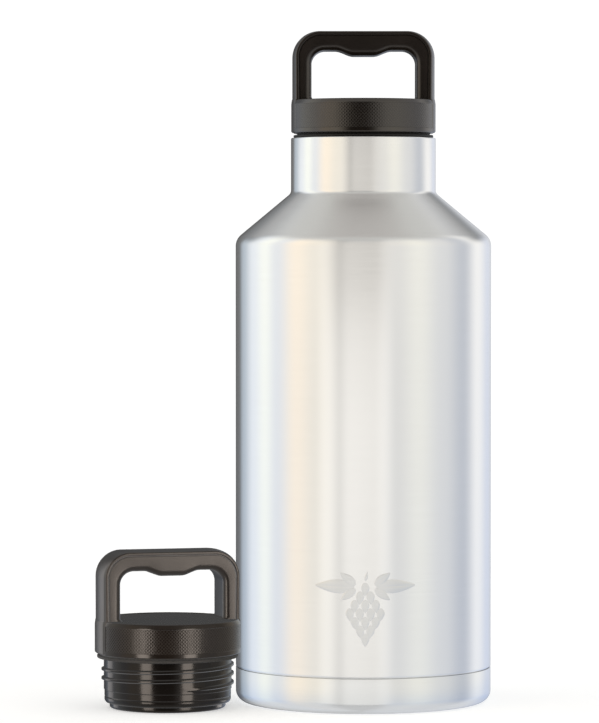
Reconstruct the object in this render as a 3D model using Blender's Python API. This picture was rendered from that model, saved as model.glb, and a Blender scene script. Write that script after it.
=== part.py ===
"""A 64 oz double-wall steel growler with its screw lid fitted and a second, equal lid beside it.

Units are metres, +Z is up and the origin is the centre of the foot on the standing plane.
The lid loop lies in the XZ plane and the front of the bottle faces -Y.
"""
import math

import bmesh
import bpy
from mathutils import Matrix, Vector

MM = 0.001
GAP = 0.3 * MM               # clearance between pieces that touch on the real object
SEGMENTS = 40                # facets round every turned piece
SHEET = 0.6 * MM             # steel sheet thickness

# Bottle
BODY_R = 60.0 * MM
FOOT_CORNER_R = 5.5 * MM
FOOT_RING_R = 50.0 * MM      # inner edge of the ring the bottle stands on
SEAM_Z = 16.7 * MM
SHOULDER_LOW_Z = 217.4 * MM
SHOULDER_HIGH_Z = 239.0 * MM
SHOULDER_BEND_R = 7.0 * MM
NECK_BEND_R = 3.0 * MM
NECK_R = 34.0 * MM
RIM_Z = 264.8 * MM
BASE_FLOOR_R = 47.0 * MM
BASE_FLOOR_Z = 2.4 * MM      # underside of the recessed floor of the base cup
COVER_R = 45.0 * MM
COVER_Z = 1.3 * MM           # underside of the base cover disc
COVER_T = 0.8 * MM
PORT_R = 3.0 * MM
LAP = 4.0 * MM               # height of the lap joint at each sheet seam

# Liner
LINER_R = 51.5 * MM          # inside radius
LINER_FLOOR_Z = 11.0 * MM
LINER_SEAM_Z = 30.0 * MM
LINER_CORNER_R = 9.0 * MM
LINER_WALL = 0.6 * MM
LINER_HIGH_Z = 235.0 * MM    # top of the liner's cone, on its inside
FOIL_T = 0.2 * MM
FOIL_LOW_Z = 38.0 * MM
FOIL_HIGH_Z = 210.0 * MM
GETTER_R = 5.0 * MM
GETTER_T = 1.9 * MM
GETTER_X = 22.0 * MM

# Lid, in its own frame: height 0 is the bottom edge of the skirt
LID_Z = 267.0 * MM           # height of that edge when the lid is screwed home
CAP_R = 34.0 * MM
CAP_H = 15.6 * MM
CAP_WALL = 2.5 * MM
CAP_TOP_T = 2.4 * MM
LOOP_TOP = 47.9 * MM
LOOP_X = 33.4 * MM           # outside half-width above the cap
LOOP_INNER_X = 24.35 * MM
LOOP_BAR_Z = 38.6 * MM       # underside of the bar
LOOP_OUTER_R = 12.7 * MM
LOOP_INNER_R = 6.3 * MM
LOOP_FOOT_R = 1.3 * MM       # flare of each leg where it stands on the cap
LOOP_DEPTH = 21.6 * MM
LOOP_EDGE_R = 2.2 * MM
LOOP_CROWN = 1.7 * MM        # how far the strap curves back at its two edges
BAR_CROWN = 0.5 * MM
STRAP_X = 33.9 * MM          # outside of the strap where it runs down the skirt
STRAP_T = 4.6 * MM
STRAP_WIDTH = 21.0 * MM
STRAP_EDGE_R = 0.5 * MM
CHAMFER_Z = 13.6 * MM        # where the chamfer round the top of the skirt starts
CHAMFER = 0.7 * MM
BUMP_HALF = 13.2 * MM
BUMP_FLAT_HALF = 4.6 * MM
BUMP_DROP = 2.45 * MM
DRUM_R = 28.7 * MM           # part of the plug inside the skirt
PLUG_WALL = 2.0 * MM
PLUG_DEPTH = 25.5 * MM
NOSE_R = 29.4 * MM
NOSE_END = 22.9 * MM
DISC_R = 27.0 * MM
DISC_T = 2.2 * MM
GASKET_R = 32.8 * MM
GASKET_HOLE_R = 30.1 * MM

# Screw thread: single start, right hand
PITCH = 4.2 * MM
THREAD_STEP = PITCH / SEGMENTS
ROOT_R = 29.7 * MM
THREAD_H = 1.1 * MM
THREAD_GAP = 0.35 * MM
MOUTH_R = ROOT_R + THREAD_H + THREAD_GAP
RIDGE_Z = -50 * THREAD_STEP  # height of the ridge on the +X side, in the lid frame
CREST_STEPS = 4              # half-width of the crest, in thread steps
FOOT_STEPS = 9               # half-width of the ridge at the root
GROOVE_FLAT_STEPS = 7        # half-width of the groove floor in the mouth
GROOVE_EDGE_STEPS = 13       # half-width of the groove at the ridge tips
FADE_TURNS = 0.08
MALE_TURNS = (-2.25, 0.25)   # where the ridge starts and ends, in turns from RIDGE_Z
FEMALE_TURNS = (-2.9, 0.3)
MALE_TOP_STEP = -30
MALE_BOTTOM_STEP = -158
FEMALE_TOP_STEP = -25
FEMALE_BOTTOM_STEP = -193

# Where the second lid stands, clear of the bottle
SPARE_X = -91.3 * MM
SPARE_Y = -26.0 * MM
SPARE_TURN = math.radians(15.0)


def clear_scene():
    for thing in list(bpy.data.objects):
        bpy.data.objects.remove(thing, do_unlink=True)


def make_material(name, colour, metallic, roughness):
    material = bpy.data.materials.new(name)
    material.use_nodes = True
    shader = material.node_tree.nodes["Principled BSDF"]
    shader.inputs["Base Color"].default_value = (*colour, 1.0)
    shader.inputs["Metallic"].default_value = metallic
    shader.inputs["Roughness"].default_value = roughness
    material.diffuse_color = (*colour, 1.0)
    return material


def make_object(name, mesh_data, parent, material, location=(0.0, 0.0, 0.0), smooth=True):
    """Turn a bmesh into a named object with outward normals and its own material."""
    bmesh.ops.remove_doubles(mesh_data, verts=mesh_data.verts, dist=1e-6)
    bmesh.ops.recalc_face_normals(mesh_data, faces=mesh_data.faces)
    mesh = bpy.data.meshes.new(name)
    mesh_data.to_mesh(mesh)
    mesh_data.free()
    mesh.materials.append(material)
    for face in mesh.polygons:
        face.use_smooth = smooth
    thing = bpy.data.objects.new(name, mesh)
    bpy.context.collection.objects.link(thing)
    thing.parent = parent
    thing.location = location
    return thing


def ring_point(radius, height, step, steps):
    angle = 2.0 * math.pi * step / steps
    return Vector((radius * math.cos(angle), radius * math.sin(angle), height))


def turned(name, outline, parent, material, segments=SEGMENTS, location=(0.0, 0.0, 0.0)):
    """Revolve a closed outline of (radius, height) points about Z."""
    mesh_data = bmesh.new()
    columns = []
    for step in range(segments):
        columns.append([mesh_data.verts.new(ring_point(r, z, step, segments)) for r, z in outline])
    for step in range(segments):
        here = columns[step]
        there = columns[(step + 1) % segments]
        for row in range(len(outline)):
            after = (row + 1) % len(outline)
            if outline[row][0] == 0.0 and outline[after][0] == 0.0:
                continue
            mesh_data.faces.new((here[row], here[after], there[after], there[row]))
    bmesh.ops.remove_doubles(mesh_data, verts=mesh_data.verts, dist=1e-6)
    return make_object(name, mesh_data, parent, material, location)


def arc(centre, radius, start, end, steps):
    """Points on an arc in the (radius, height) plane; the angles are in degrees."""
    points = []
    for step in range(steps + 1):
        angle = math.radians(start + (end - start) * step / steps)
        points.append((centre[0] + radius * math.cos(angle), centre[1] + radius * math.sin(angle)))
    return points


def rounded(corner, before, after, radius, steps):
    """Replace the corner between two other points by an arc of the given radius."""
    here = Vector(corner)
    back = (Vector(before) - here).normalized()
    ahead = (Vector(after) - here).normalized()
    half = back.angle(ahead) / 2.0
    centre = here + (back + ahead).normalized() * (radius / math.sin(half))
    start = here + back * (radius / math.tan(half)) - centre
    end = here + ahead * (radius / math.tan(half)) - centre
    sweep = start.angle_signed(end)
    points = []
    for step in range(steps + 1):
        turn = Matrix.Rotation(-sweep * step / steps, 2)
        points.append(tuple(centre + turn @ start))
    return points


def smooth_step(value):
    value = min(1.0, max(0.0, value))
    return value * value * (3.0 - 2.0 * value)


def ridge_fade(turns, limits):
    """1 along the ridge, falling to 0 at its two ends."""
    rise = smooth_step((turns - limits[0]) / FADE_TURNS)
    fall = smooth_step((limits[1] - turns) / FADE_TURNS)
    return rise * fall


def thread_lines(top_step, bottom_step, phases):
    """Helical grid lines as (phase in steps, turn number), from below the thread to above it."""
    first = bottom_step // SEGMENTS - 1
    last = top_step // SEGMENTS + 2
    return [(phase, turn) for turn in range(first, last + 1) for phase in phases]


def threaded(name, above, below, male, parent, material):
    """Revolve an outline whose stretch between its two parts is a helical thread.

    The outline runs from the top of the thread along `above`, round the rest of the
    section and along `below` back to the bottom of the thread.
    """
    if male:
        phases = (-FOOT_STEPS, -CREST_STEPS, CREST_STEPS, FOOT_STEPS)
        top_step, bottom_step, limits = MALE_TOP_STEP, MALE_BOTTOM_STEP, MALE_TURNS
    else:
        phases = (-GROOVE_EDGE_STEPS, -GROOVE_FLAT_STEPS, GROOVE_FLAT_STEPS, GROOVE_EDGE_STEPS)
        top_step, bottom_step, limits = FEMALE_TOP_STEP, FEMALE_BOTTOM_STEP, FEMALE_TURNS
    ridge_step = round(RIDGE_Z / THREAD_STEP)
    lines = thread_lines(top_step - ridge_step, bottom_step - ridge_step, phases)
    rest = list(above) + list(below)
    mesh_data = bmesh.new()

    def thread_column(step):
        column = []
        for phase, turn in lines:
            raw = ridge_step + turn * SEGMENTS + phase + step
            height = min(top_step, max(bottom_step, raw)) * THREAD_STEP
            turns = turn + step / SEGMENTS
            if male:
                crest = abs(phase) == CREST_STEPS
                radius = ROOT_R + (THREAD_H * ridge_fade(turns, limits) if crest else 0.0)
            else:
                tip = abs(phase) == GROOVE_EDGE_STEPS
                side = 0.5 if phase > 0 else -0.5
                depth = THREAD_H * ridge_fade(turns + side, limits) if tip else 0.0
                radius = MOUTH_R - depth
            if not bottom_step < raw < top_step:
                radius = ROOT_R if male else MOUTH_R
            column.append(mesh_data.verts.new(ring_point(radius, height, step, SEGMENTS)))
        return column

    threads = [thread_column(step) for step in range(SEGMENTS)]
    others = []
    for step in range(SEGMENTS):
        others.append([mesh_data.verts.new(ring_point(r, z, step, SEGMENTS)) for r, z in rest])
    shift = len(phases)
    for step in range(SEGMENTS):
        ahead = (step + 1) % SEGMENTS
        offset = shift if ahead == 0 else 0
        for row in range(len(lines) - 1 - offset):
            here = threads[step]
            there = threads[ahead]
            mesh_data.faces.new(
                (here[row], here[row + 1], there[row + 1 + offset], there[row + offset]))
        rim = [threads[step][-1]] + others[step] + [threads[step][0]]
        next_rim = [threads[ahead][-1]] + others[ahead] + [threads[ahead][0]]
        for row in range(len(rim) - 1):
            mesh_data.faces.new((rim[row], rim[row + 1], next_rim[row + 1], next_rim[row]))
    bmesh.ops.remove_doubles(mesh_data, verts=mesh_data.verts, dist=1e-6)
    bmesh.ops.dissolve_degenerate(mesh_data, dist=1e-7, edges=mesh_data.edges)
    return make_object(name, mesh_data, parent, material)


def box_cutter(name, low, high, parent):
    mesh_data = bmesh.new()
    bmesh.ops.create_cube(mesh_data, size=1.0)
    size = Vector(high) - Vector(low)
    middle = (Vector(high) + Vector(low)) / 2.0
    for vert in mesh_data.verts:
        vert.co = Vector((vert.co.x * size.x, vert.co.y * size.y, vert.co.z * size.z)) + middle
    mesh = bpy.data.meshes.new(name)
    mesh_data.to_mesh(mesh)
    mesh_data.free()
    cutter = bpy.data.objects.new(name, mesh)
    bpy.context.collection.objects.link(cutter)
    cutter.parent = parent
    cutter.hide_render = True
    cutter.display_type = "WIRE"
    return cutter


def cut(target, cutter):
    modifier = target.modifiers.new("cut", "BOOLEAN")
    modifier.operation = "DIFFERENCE"
    modifier.solver = "EXACT"
    modifier.object = cutter


def offset_profile(points, distance):
    """Move an open (radius, height) polyline sideways by a distance, keeping its corners."""
    moved = []
    for index, point in enumerate(points):
        normals = []
        if index > 0:
            along = (Vector(point) - Vector(points[index - 1])).normalized()
            normals.append(Vector((-along.y, along.x)))
        if index < len(points) - 1:
            along = (Vector(points[index + 1]) - Vector(point)).normalized()
            normals.append(Vector((-along.y, along.x)))
        mean = sum(normals, Vector((0.0, 0.0))).normalized()
        moved.append(tuple(Vector(point) + mean * (distance / mean.dot(normals[0]))))
    return moved


def build_outer_shell(parent, material):
    """Straight body, cone and neck, one sheet thick."""
    shoulder = (BODY_R, SHOULDER_LOW_Z)
    neck = (NECK_R, SHOULDER_HIGH_Z)
    outside = [(BODY_R, SEAM_Z + GAP / 2)]
    outside += rounded(shoulder, (BODY_R, 0.0), neck, SHOULDER_BEND_R, 3)
    outside += rounded(neck, shoulder, (NECK_R, RIM_Z), NECK_BEND_R, 2)
    outside += [(NECK_R, RIM_Z - SHEET / 2), (NECK_R - SHEET / 2, RIM_Z)]
    inside = offset_profile(outside[:-2] + [(NECK_R, RIM_Z)], SHEET)
    turned("outer_shell", outside + inside[::-1], parent, material)


def build_base_cup(parent, material):
    """Stamped bottom with a lap that stands up inside the shell."""
    corner = arc((BODY_R - FOOT_CORNER_R, FOOT_CORNER_R), FOOT_CORNER_R, 0.0, -90.0, 4)
    top = SEAM_Z - GAP / 2
    lap_r = BODY_R - SHEET - GAP
    outside = [(BODY_R, top)] + corner
    outside += [(FOOT_RING_R, 0.0), (BASE_FLOOR_R, BASE_FLOOR_Z), (PORT_R, BASE_FLOOR_Z)]
    floor_top = BASE_FLOOR_Z + SHEET
    inside = [(PORT_R, floor_top), (BASE_FLOOR_R + SHEET / 2, floor_top)]
    inside += [(FOOT_RING_R + SHEET / 2, SHEET)]
    inside += arc((BODY_R - FOOT_CORNER_R, FOOT_CORNER_R), FOOT_CORNER_R - SHEET, -90.0, 0.0, 4)
    inside += [(BODY_R - SHEET, top - LAP), (lap_r - SHEET, top - LAP + SHEET)]
    inside += [(lap_r - SHEET, top + LAP), (lap_r, top + LAP), (lap_r, top)]
    turned("base_cup", outside + inside, parent, material)


def build_base_cover(parent, material):
    edge = COVER_T / 2
    outline = [(0.0, COVER_Z), (COVER_R - edge, COVER_Z), (COVER_R, COVER_Z + edge)]
    outline += [(COVER_R, COVER_Z + COVER_T), (0.0, COVER_Z + COVER_T)]
    turned("base_cover", outline, parent, material)


def build_port_seal(parent, material):
    """Glass bead that closes the evacuation port."""
    radius = PORT_R - GAP
    middle = BASE_FLOOR_Z + SHEET
    outline = [(0.0, middle - SHEET), (radius * 0.75, middle - SHEET), (radius, middle - SHEET / 2)]
    outline += [(radius, middle), (radius * 0.75, middle + SHEET * 0.7), (0.0, middle + SHEET)]
    turned("port_seal", outline, parent, material, segments=16)


def build_inner_liner(parent, material):
    """Inner wall with the rolled rim and the screw thread of the mouth."""
    cone_drop = (LINER_R - MOUTH_R) * (SHOULDER_HIGH_Z - SHOULDER_LOW_Z) / (BODY_R - NECK_R)
    low = (LINER_R, LINER_HIGH_Z - cone_drop)
    high = (MOUTH_R, LINER_HIGH_Z)
    lip_r = NECK_R - SHEET - GAP
    inside = [(LINER_R, LINER_SEAM_Z + GAP / 2)]
    inside += rounded(low, (LINER_R, 0.0), high, SHOULDER_BEND_R, 2)
    inside += rounded(high, low, (MOUTH_R, RIM_Z), NECK_BEND_R, 2)
    vacuum_side = offset_profile(inside + [(MOUTH_R, RIM_Z - LINER_WALL)], -LINER_WALL)
    above = [(MOUTH_R + LINER_WALL * 0.4, RIM_Z), (lip_r, RIM_Z), (lip_r, RIM_Z - LINER_WALL)]
    above += vacuum_side[::-1]
    shifted_above = [(radius, height - LID_Z) for radius, height in above]
    shifted_below = [(radius, height - LID_Z) for radius, height in inside]
    liner = threaded("inner_liner", shifted_above, shifted_below, False, parent, material)
    liner.location.z = LID_Z


def build_liner_bottom(parent, material):
    """Cup that closes the liner, with a lap round the outside of its wall."""
    top = LINER_SEAM_Z - GAP / 2
    lap_r = LINER_R + LINER_WALL + GAP
    centre = (LINER_R - LINER_CORNER_R, LINER_FLOOR_Z + LINER_CORNER_R)
    inside = [(0.0, LINER_FLOOR_Z)] + arc(centre, LINER_CORNER_R, -90.0, 0.0, 3)
    inside += [(LINER_R, top), (lap_r, top), (lap_r, top + LAP)]
    outside = [(lap_r + LINER_WALL, top + LAP), (lap_r + LINER_WALL, top - LINER_WALL)]
    outside += [(LINER_R + LINER_WALL, top - 2 * LINER_WALL)]
    outside += arc(centre, LINER_CORNER_R + LINER_WALL, 0.0, -90.0, 3)
    outside += [(0.0, LINER_FLOOR_Z - LINER_WALL)]
    turned("liner_bottom", inside + outside, parent, material)


def build_vacuum_parts(parent, foil_material, getter_material, clip_material):
    foil_r = LINER_R + LINER_WALL + GAP
    foil = [(foil_r, FOIL_LOW_Z), (foil_r + FOIL_T, FOIL_LOW_Z)]
    foil += [(foil_r + FOIL_T, FOIL_HIGH_Z), (foil_r, FOIL_HIGH_Z)]
    turned("foil_wrap", foil, parent, foil_material)

    ceiling = LINER_FLOOR_Z - LINER_WALL - GAP
    place = (GETTER_X, 0.0, ceiling)
    sheet = GAP
    wall_r = GETTER_R + GAP
    pellet_top = -sheet
    pellet_low = pellet_top - GETTER_T
    pellet = [(0.0, pellet_low), (GETTER_R, pellet_low), (GETTER_R, pellet_top), (0.0, pellet_top)]
    turned("getter", pellet, parent, getter_material, segments=24, location=place)
    tray_top = pellet_low - GAP
    window_r = GETTER_R * 0.5
    flange_r = GETTER_R + 3.0 * MM
    clip = [(window_r, tray_top - sheet), (wall_r + sheet, tray_top - sheet)]
    clip += [(wall_r + sheet, -sheet), (flange_r, -sheet), (flange_r, 0.0), (wall_r, 0.0)]
    clip += [(wall_r, tray_top), (window_r, tray_top)]
    turned("getter_clip", clip, parent, clip_material, segments=24, location=place)


def build_cap(name, parent, material):
    """Top plate and skirt, notched on two sides for the straps of the loop."""
    underside = CAP_H - CAP_TOP_T
    edge = 0.4 * MM
    outline = [(0.0, CAP_H), (CAP_R - CHAMFER - edge, CAP_H), (CAP_R - CHAMFER, CAP_H - edge)]
    outline += [(CAP_R, CHAMFER_Z), (CAP_R, edge), (CAP_R - edge, 0.0)]
    outline += [(CAP_R - CAP_WALL, 0.0), (CAP_R - CAP_WALL, underside), (0.0, underside)]
    cap = turned(name, outline, parent, material)
    half = STRAP_WIDTH / 2 + GAP
    notch_x = STRAP_X - STRAP_T - GAP
    beyond = CAP_R * 1.2
    for side in (-1, 1):
        ends = sorted((side * notch_x, side * beyond))
        low = (ends[0], -half, -CAP_H)
        high = (ends[1], half, 2 * CAP_H)
        cut(cap, box_cutter(f"cutter_{name}_{'left' if side < 0 else 'right'}", low, high, parent))


def loop_stations():
    """One half of the loop: (outer point, inner point, width, edge radius, crown) from foot to middle."""
    shoulder_z = CAP_H + GAP
    outer_corner = (LOOP_X - LOOP_OUTER_R, LOOP_TOP - LOOP_OUTER_R)
    inner_corner = (LOOP_INNER_X - LOOP_INNER_R, LOOP_BAR_Z - LOOP_INNER_R)
    strap = (STRAP_WIDTH, STRAP_EDGE_R, LOOP_CROWN)
    leg = (LOOP_DEPTH, LOOP_EDGE_R, LOOP_CROWN)
    back = STRAP_X - STRAP_T
    stations = [((STRAP_X, GAP), (back, GAP), *strap)]
    stations.append(((STRAP_X, CHAMFER_Z), (back, CHAMFER_Z), *strap))
    stations.append(((LOOP_X + GAP, shoulder_z), (back, shoulder_z), *strap))
    stations.append(((LOOP_X, shoulder_z), (LOOP_INNER_X - LOOP_FOOT_R, shoulder_z), *leg))
    flare_z = shoulder_z + LOOP_FOOT_R
    stations.append(((LOOP_X, flare_z), (LOOP_INNER_X, flare_z), *leg))
    corner_steps = 6
    outer_arc = arc(outer_corner, LOOP_OUTER_R, 0.0, 90.0, corner_steps)
    inner_arc = arc(inner_corner, LOOP_INNER_R, 0.0, 90.0, corner_steps)
    for step, (outer, inner) in enumerate(zip(outer_arc, inner_arc)):
        crown = LOOP_CROWN + (BAR_CROWN - LOOP_CROWN) * step / corner_steps
        stations.append((outer, inner, LOOP_DEPTH, LOOP_EDGE_R, crown))
    bar = (LOOP_DEPTH, LOOP_EDGE_R, BAR_CROWN)
    ramp_steps = 4
    for step in range(ramp_steps + 1):
        along = step / ramp_steps
        x = BUMP_HALF + (BUMP_FLAT_HALF - BUMP_HALF) * along
        z = LOOP_BAR_Z - BUMP_DROP * smooth_step(along)
        stations.append(((x, LOOP_TOP), (x, z), *bar))
    return stations


def loop_section(outer, inner, width, edge_r, crown):
    """Rounded section of the loop between its inner and outer outline."""
    thickness = (Vector(outer) - Vector(inner)).length
    along = (Vector(outer) - Vector(inner)).normalized()
    half = width / 2
    flat = half - edge_r
    flat_points = [(thickness, flat * share) for share in (-0.5, 0.0, 0.5)]
    corners = [((edge_r, flat), 90.0), ((edge_r, -flat), 180.0)]
    corners.append(((thickness - edge_r, -flat), 270.0))
    points = []
    for centre, start in corners:
        points += arc(centre, edge_r, start, start + 90.0, 3)
    points += flat_points
    points += arc((thickness - edge_r, flat), edge_r, 0.0, 90.0, 3)
    section = []
    for distance, y in points:
        if distance > thickness / 2:
            distance -= crown * (y / half) ** 2
        spot = Vector(inner) + along * distance
        section.append(Vector((spot.x, y, spot.y)))
    return section


def build_loop(name, parent, material):
    half = loop_stations()
    sections = [loop_section(*station) for station in half]
    for station in half[::-1]:
        section = loop_section(*station)
        sections.append([Vector((-point.x, point.y, point.z)) for point in section])
    mesh_data = bmesh.new()
    rings = [[mesh_data.verts.new(point) for point in section] for section in sections]
    for here, there in zip(rings, rings[1:]):
        for row in range(len(here)):
            after = (row + 1) % len(here)
            mesh_data.faces.new((here[row], here[after], there[after], there[row]))
    mesh_data.faces.new(rings[0])
    mesh_data.faces.new(rings[-1])
    make_object(name, mesh_data, parent, material)


def build_plug(name, parent, material):
    """Hollow plug: drum inside the skirt, thread, and a plain nose with a fine groove."""
    bore = DRUM_R - PLUG_WALL
    seat = DISC_R + GAP
    drum_top = CAP_H - CAP_TOP_T - GAP
    seat_z = -PLUG_DEPTH + DISC_T * 2 + GAP
    above = [(ROOT_R, -2 * GAP), (DRUM_R, 0.0), (DRUM_R, drum_top), (bore, drum_top)]
    above += [(bore, seat_z), (seat, seat_z), (seat, -NOSE_END)]
    groove_z = -20.0 * MM
    below = [(NOSE_R - 1.2 * MM, -NOSE_END), (NOSE_R, -NOSE_END + 1.2 * MM)]
    below += [(NOSE_R, groove_z - GAP), (NOSE_R - GAP, groove_z), (NOSE_R, groove_z + GAP)]
    below += [(NOSE_R, MALE_BOTTOM_STEP * THREAD_STEP - GAP)]
    threaded(name, above, below, True, parent, material)


def build_plug_fillings(prefix, parent, disc_material, foam_material):
    """The disc that closes the plug and the foam it holds in."""
    low = -PLUG_DEPTH
    lip_top = low + DISC_T * 2
    lip_r = DISC_R - PLUG_WALL
    edge = 1.0 * MM
    disc = [(0.0, low), (DISC_R - edge, low), (DISC_R, low + edge), (DISC_R, lip_top)]
    disc += [(lip_r, lip_top), (lip_r, low + DISC_T), (0.0, low + DISC_T)]
    turned(f"{prefix}_plug_base", disc, parent, disc_material)
    foam_r = DRUM_R - PLUG_WALL - GAP
    foam_top = CAP_H - CAP_TOP_T - 2 * GAP
    foam = [(0.0, foam_top), (foam_r, foam_top), (foam_r, lip_top + GAP)]
    foam += [(lip_r - GAP, lip_top + GAP), (lip_r - GAP, low + DISC_T + GAP)]
    foam += [(0.0, low + DISC_T + GAP)]
    turned(f"{prefix}_foam", foam, parent, foam_material)


def build_gasket(name, parent, material):
    """L-shaped ring between the skirt and the rim of the mouth."""
    low = RIM_Z + GAP - LID_Z
    top = -GAP
    step_z = top - 0.5 * MM
    edge = 0.3 * MM
    seat_r = GASKET_R - 1.6 * MM
    outline = [(GASKET_HOLE_R, low), (GASKET_R - edge, low), (GASKET_R, low + edge)]
    outline += [(GASKET_R, step_z), (seat_r, step_z), (seat_r, top), (GASKET_HOLE_R, top)]
    turned(name, outline, parent, material)


def make_mover(name, location, turn):
    mover = bpy.data.objects.new(name, None)
    bpy.context.collection.objects.link(mover)
    mover.location = location
    mover.rotation_euler = (0.0, 0.0, turn)
    return mover


def build_lid(prefix, parent):
    plastic = ((0.03, 0.028, 0.026), 0.0, 0.42)
    build_cap(f"{prefix}_cap", parent, make_material(f"{prefix}_cap", *plastic))
    build_loop(f"{prefix}_loop", parent, make_material(f"{prefix}_loop", *plastic))
    build_plug(f"{prefix}_plug", parent, make_material(f"{prefix}_plug", *plastic))
    disc_material = make_material(f"{prefix}_plug_base", *plastic)
    foam_material = make_material(f"{prefix}_foam", (0.85, 0.82, 0.7), 0.0, 0.9)
    build_plug_fillings(prefix, parent, disc_material, foam_material)
    rubber = make_material(f"{prefix}_gasket", (0.02, 0.02, 0.02), 0.0, 0.7)
    build_gasket(f"{prefix}_gasket", parent, rubber)


def build_bottle(parent):
    steel = ((0.62, 0.62, 0.63), 1.0, 0.32)
    build_outer_shell(parent, make_material("outer_shell", *steel))
    build_base_cup(parent, make_material("base_cup", *steel))
    build_base_cover(parent, make_material("base_cover", *steel))
    build_port_seal(parent, make_material("port_seal", (0.25, 0.3, 0.33), 0.0, 0.2))
    build_inner_liner(parent, make_material("inner_liner", *steel))
    build_liner_bottom(parent, make_material("liner_bottom", *steel))
    foil_material = make_material("foil_wrap", (0.8, 0.55, 0.4), 1.0, 0.25)
    getter_material = make_material("getter", (0.25, 0.25, 0.26), 0.0, 0.8)
    clip_material = make_material("getter_clip", (0.6, 0.6, 0.6), 1.0, 0.3)
    build_vacuum_parts(parent, foil_material, getter_material, clip_material)


def main():
    clear_scene()
    bottle = make_mover("bottle_origin", (0.0, 0.0, 0.0), 0.0)
    build_bottle(bottle)
    fitted = make_mover("lid_axis", (0.0, 0.0, LID_Z), 0.0)
    build_lid("lid", fitted)
    spare = make_mover("spare_axis", (SPARE_X, SPARE_Y, PLUG_DEPTH), SPARE_TURN)
    build_lid("spare", spare)


main()
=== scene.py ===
"""Looks of the steel growler, its fitted screw lid and the second lid beside it."""
import math

import bmesh
import bpy
from mathutils import Matrix, Vector


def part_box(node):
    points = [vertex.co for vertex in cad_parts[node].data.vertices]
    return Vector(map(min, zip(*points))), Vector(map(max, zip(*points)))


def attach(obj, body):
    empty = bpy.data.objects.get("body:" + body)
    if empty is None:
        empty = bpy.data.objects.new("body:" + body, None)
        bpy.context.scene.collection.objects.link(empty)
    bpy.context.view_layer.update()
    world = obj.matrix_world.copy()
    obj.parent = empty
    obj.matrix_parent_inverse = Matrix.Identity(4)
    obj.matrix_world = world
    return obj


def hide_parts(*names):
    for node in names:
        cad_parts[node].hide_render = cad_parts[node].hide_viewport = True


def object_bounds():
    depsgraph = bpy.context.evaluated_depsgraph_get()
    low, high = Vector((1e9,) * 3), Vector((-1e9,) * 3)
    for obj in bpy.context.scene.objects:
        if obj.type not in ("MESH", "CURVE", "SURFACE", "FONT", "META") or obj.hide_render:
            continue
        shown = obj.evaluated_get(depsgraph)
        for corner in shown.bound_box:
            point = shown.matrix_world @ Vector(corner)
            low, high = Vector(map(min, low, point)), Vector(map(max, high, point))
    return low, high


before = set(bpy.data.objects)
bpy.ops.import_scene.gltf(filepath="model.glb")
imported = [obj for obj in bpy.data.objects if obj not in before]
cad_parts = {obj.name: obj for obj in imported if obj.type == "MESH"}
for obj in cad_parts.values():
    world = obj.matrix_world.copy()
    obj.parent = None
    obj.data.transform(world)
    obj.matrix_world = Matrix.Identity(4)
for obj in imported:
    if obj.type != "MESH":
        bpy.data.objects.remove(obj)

cad_low, cad_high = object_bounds()

MM = 0.001
ROUND = 224                  # facets round the large turned pieces

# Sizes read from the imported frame
BODY_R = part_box("outer_shell")[1].x
RIM_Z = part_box("outer_shell")[1].z
SEAM_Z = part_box("outer_shell")[0].z
CUP_TOP_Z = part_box("base_cup")[1].z
COVER_LOW_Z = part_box("base_cover")[0].z
COVER_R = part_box("base_cover")[1].x
LID_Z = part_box("lid_cap")[0].z
CAP_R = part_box("lid_cap")[1].y
CAP_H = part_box("lid_cap")[1].z - LID_Z
PLUG_DEPTH = LID_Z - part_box("lid_plug_base")[0].z
LOOP_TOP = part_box("lid_loop")[1].z - LID_Z
LOOP_DEPTH = 2.0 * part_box("lid_loop")[1].y
STRAP_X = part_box("lid_loop")[1].x
GASKET_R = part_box("lid_gasket")[1].x
DISC_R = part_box("lid_plug_base")[1].x
SPARE_LOW, SPARE_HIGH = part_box("spare_gasket")
SPARE_AXIS = (SPARE_LOW + SPARE_HIGH) / 2.0

# Sizes that the boxes don't give
SHEET = 0.6 * MM
GAP = 0.3 * MM
NECK_R = 34.0 * MM
SHOULDER_LOW_Z = 217.4 * MM
SHOULDER_HIGH_Z = 239.0 * MM
SHOULDER_BEND = 7.0 * MM
NECK_BEND = 3.0 * MM
FOOT_BEND = 5.5 * MM
LINER_R = 51.5 * MM
LINER_CONE_TOP = 235.0 * MM
LINER_SEAM_Z = 30.0 * MM
LINER_FLOOR_Z = 11.0 * MM
LINER_FLOOR_BEND = 9.0 * MM
LINER_NECK_Z = 243.0 * MM    # end of the plain neck under the thread
SEAM_BEVEL = 0.4 * MM
FOOT_R = 50.0 * MM           # inner edge of the ring that the bottle stands on
RECESS_R = 47.0 * MM         # the recess inside that ring
RECESS_Z = 2.4 * MM
PORT_R = 3.0 * MM
LAP_DROP = 3.4 * MM          # the base cup's inside steps in to its lap this far under the seam
COVER_SHEET = 0.8 * MM
DIMPLE_R = 12.0 * MM
DIMPLE_H = 0.25 * MM
SPARE_TURN = math.radians(15.0)

# Pieces gathered for the lights that only they receive
steel_pieces = []
spare_pieces = []


# ---------------------------------------------------------------- mesh helpers

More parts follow.
